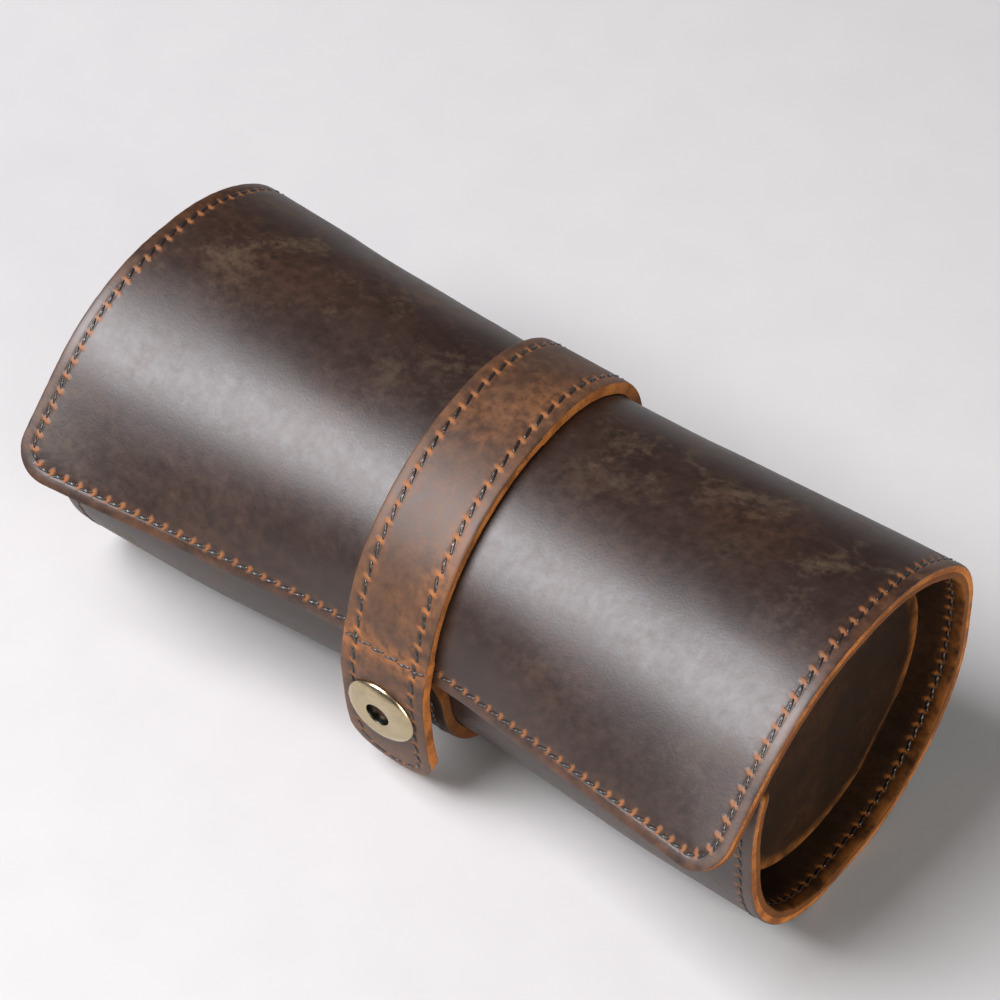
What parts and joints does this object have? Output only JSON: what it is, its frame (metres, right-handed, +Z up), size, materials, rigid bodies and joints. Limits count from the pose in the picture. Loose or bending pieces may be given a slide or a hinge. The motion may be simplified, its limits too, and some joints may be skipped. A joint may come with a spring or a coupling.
{
  "type": "travel watch case",
  "caption": "Leather watch roll that holds wristwatches on padded cushions, with a wraparound flap, closed ends and a strap that fastens with a ring snap.",
  "frame": {"origin": "middle of the footprint, on the surface that the case stands on", "axes": "+X along the roll, -Y is the front with the snap, +Z up"},
  "size_m": [0.19, 0.0964, 0.0815],
  "materials": {
    "outer_leather": "waxed, soft sheen",
    "lining_leather": "matt",
    "strap_leather": "waxed, soft sheen",
    "cushion_leather": "matt suede",
    "foam": "matt",
    "snap_brass": "satin",
    "spring_steel": "satin"
  },
  "bodies": {
    "base": {"body_outer": "outer_leather", "body_lining": "lining_leather", "counter_strap_face": "strap_leather", "counter_strap_back": "strap_leather", "snap_post": "snap_brass", "snap_stud": "snap_brass", "ear_tongue_right": "lining_leather", "ear_tongue_left": "lining_leather", "divider_right": "lining_leather", "divider_left": "lining_leather", "cushion_core_centre": "foam", "cushion_wrap_centre": "cushion_leather", "cushion_cheeks_centre": "cushion_leather", "cushion_core_right": "foam", "cushion_wrap_right": "cushion_leather", "cushion_cheeks_right": "cushion_leather", "cushion_core_left": "foam", "cushion_wrap_left": "cushion_leather", "cushion_cheeks_left": "cushion_leather"},
    "flap_top": {"flap_top_outer": "outer_leather", "flap_top_lining": "lining_leather", "strap_top_face": "strap_leather", "strap_top_back": "strap_leather"},
    "flap_front": {"flap_front_outer": "outer_leather", "flap_front_lining": "lining_leather", "strap_front_face": "strap_leather", "strap_front_back": "strap_leather"},
    "strap_tab": {"tab_face": "strap_leather", "tab_back": "strap_leather", "snap_cap": "snap_brass", "snap_socket": "snap_brass", "snap_spring": "spring_steel"},
    "ear_right": {"ear_right": "lining_leather"},
    "ear_left": {"ear_left": "lining_leather"}
  },
  "joints": [
    {"name": "flap_top_open", "type": "hinge", "parent": "base", "child": "flap_top", "pos_m": [0, 0.04855, 0.046], "axis": [-1, 0, 0], "range_deg": [0, 165]},
    {"name": "flap_front_bend", "type": "hinge", "parent": "flap_top", "child": "flap_front", "pos_m": [0, -0.02042, 0.07596], "axis": [-1, 0, 0], "range_deg": [0, 60]},
    {"name": "strap_tab_pull", "type": "hinge", "parent": "flap_front", "child": "strap_tab", "pos_m": [0, -0.03891, 0.04247], "axis": [-1, 0, 0], "range_deg": [0, 90]},
    {"name": "ear_right_open", "type": "hinge", "parent": "base", "child": "ear_right", "pos_m": [0.0855, 0.03037, 0.01664], "axis": [0, 0.7071, 0.7071], "range_deg": [0, 35]},
    {"name": "ear_left_open", "type": "hinge", "parent": "base", "child": "ear_left", "pos_m": [-0.0855, 0.03037, 0.01664], "axis": [0, -0.7071, -0.7071], "range_deg": [0, 35]}
  ]
}
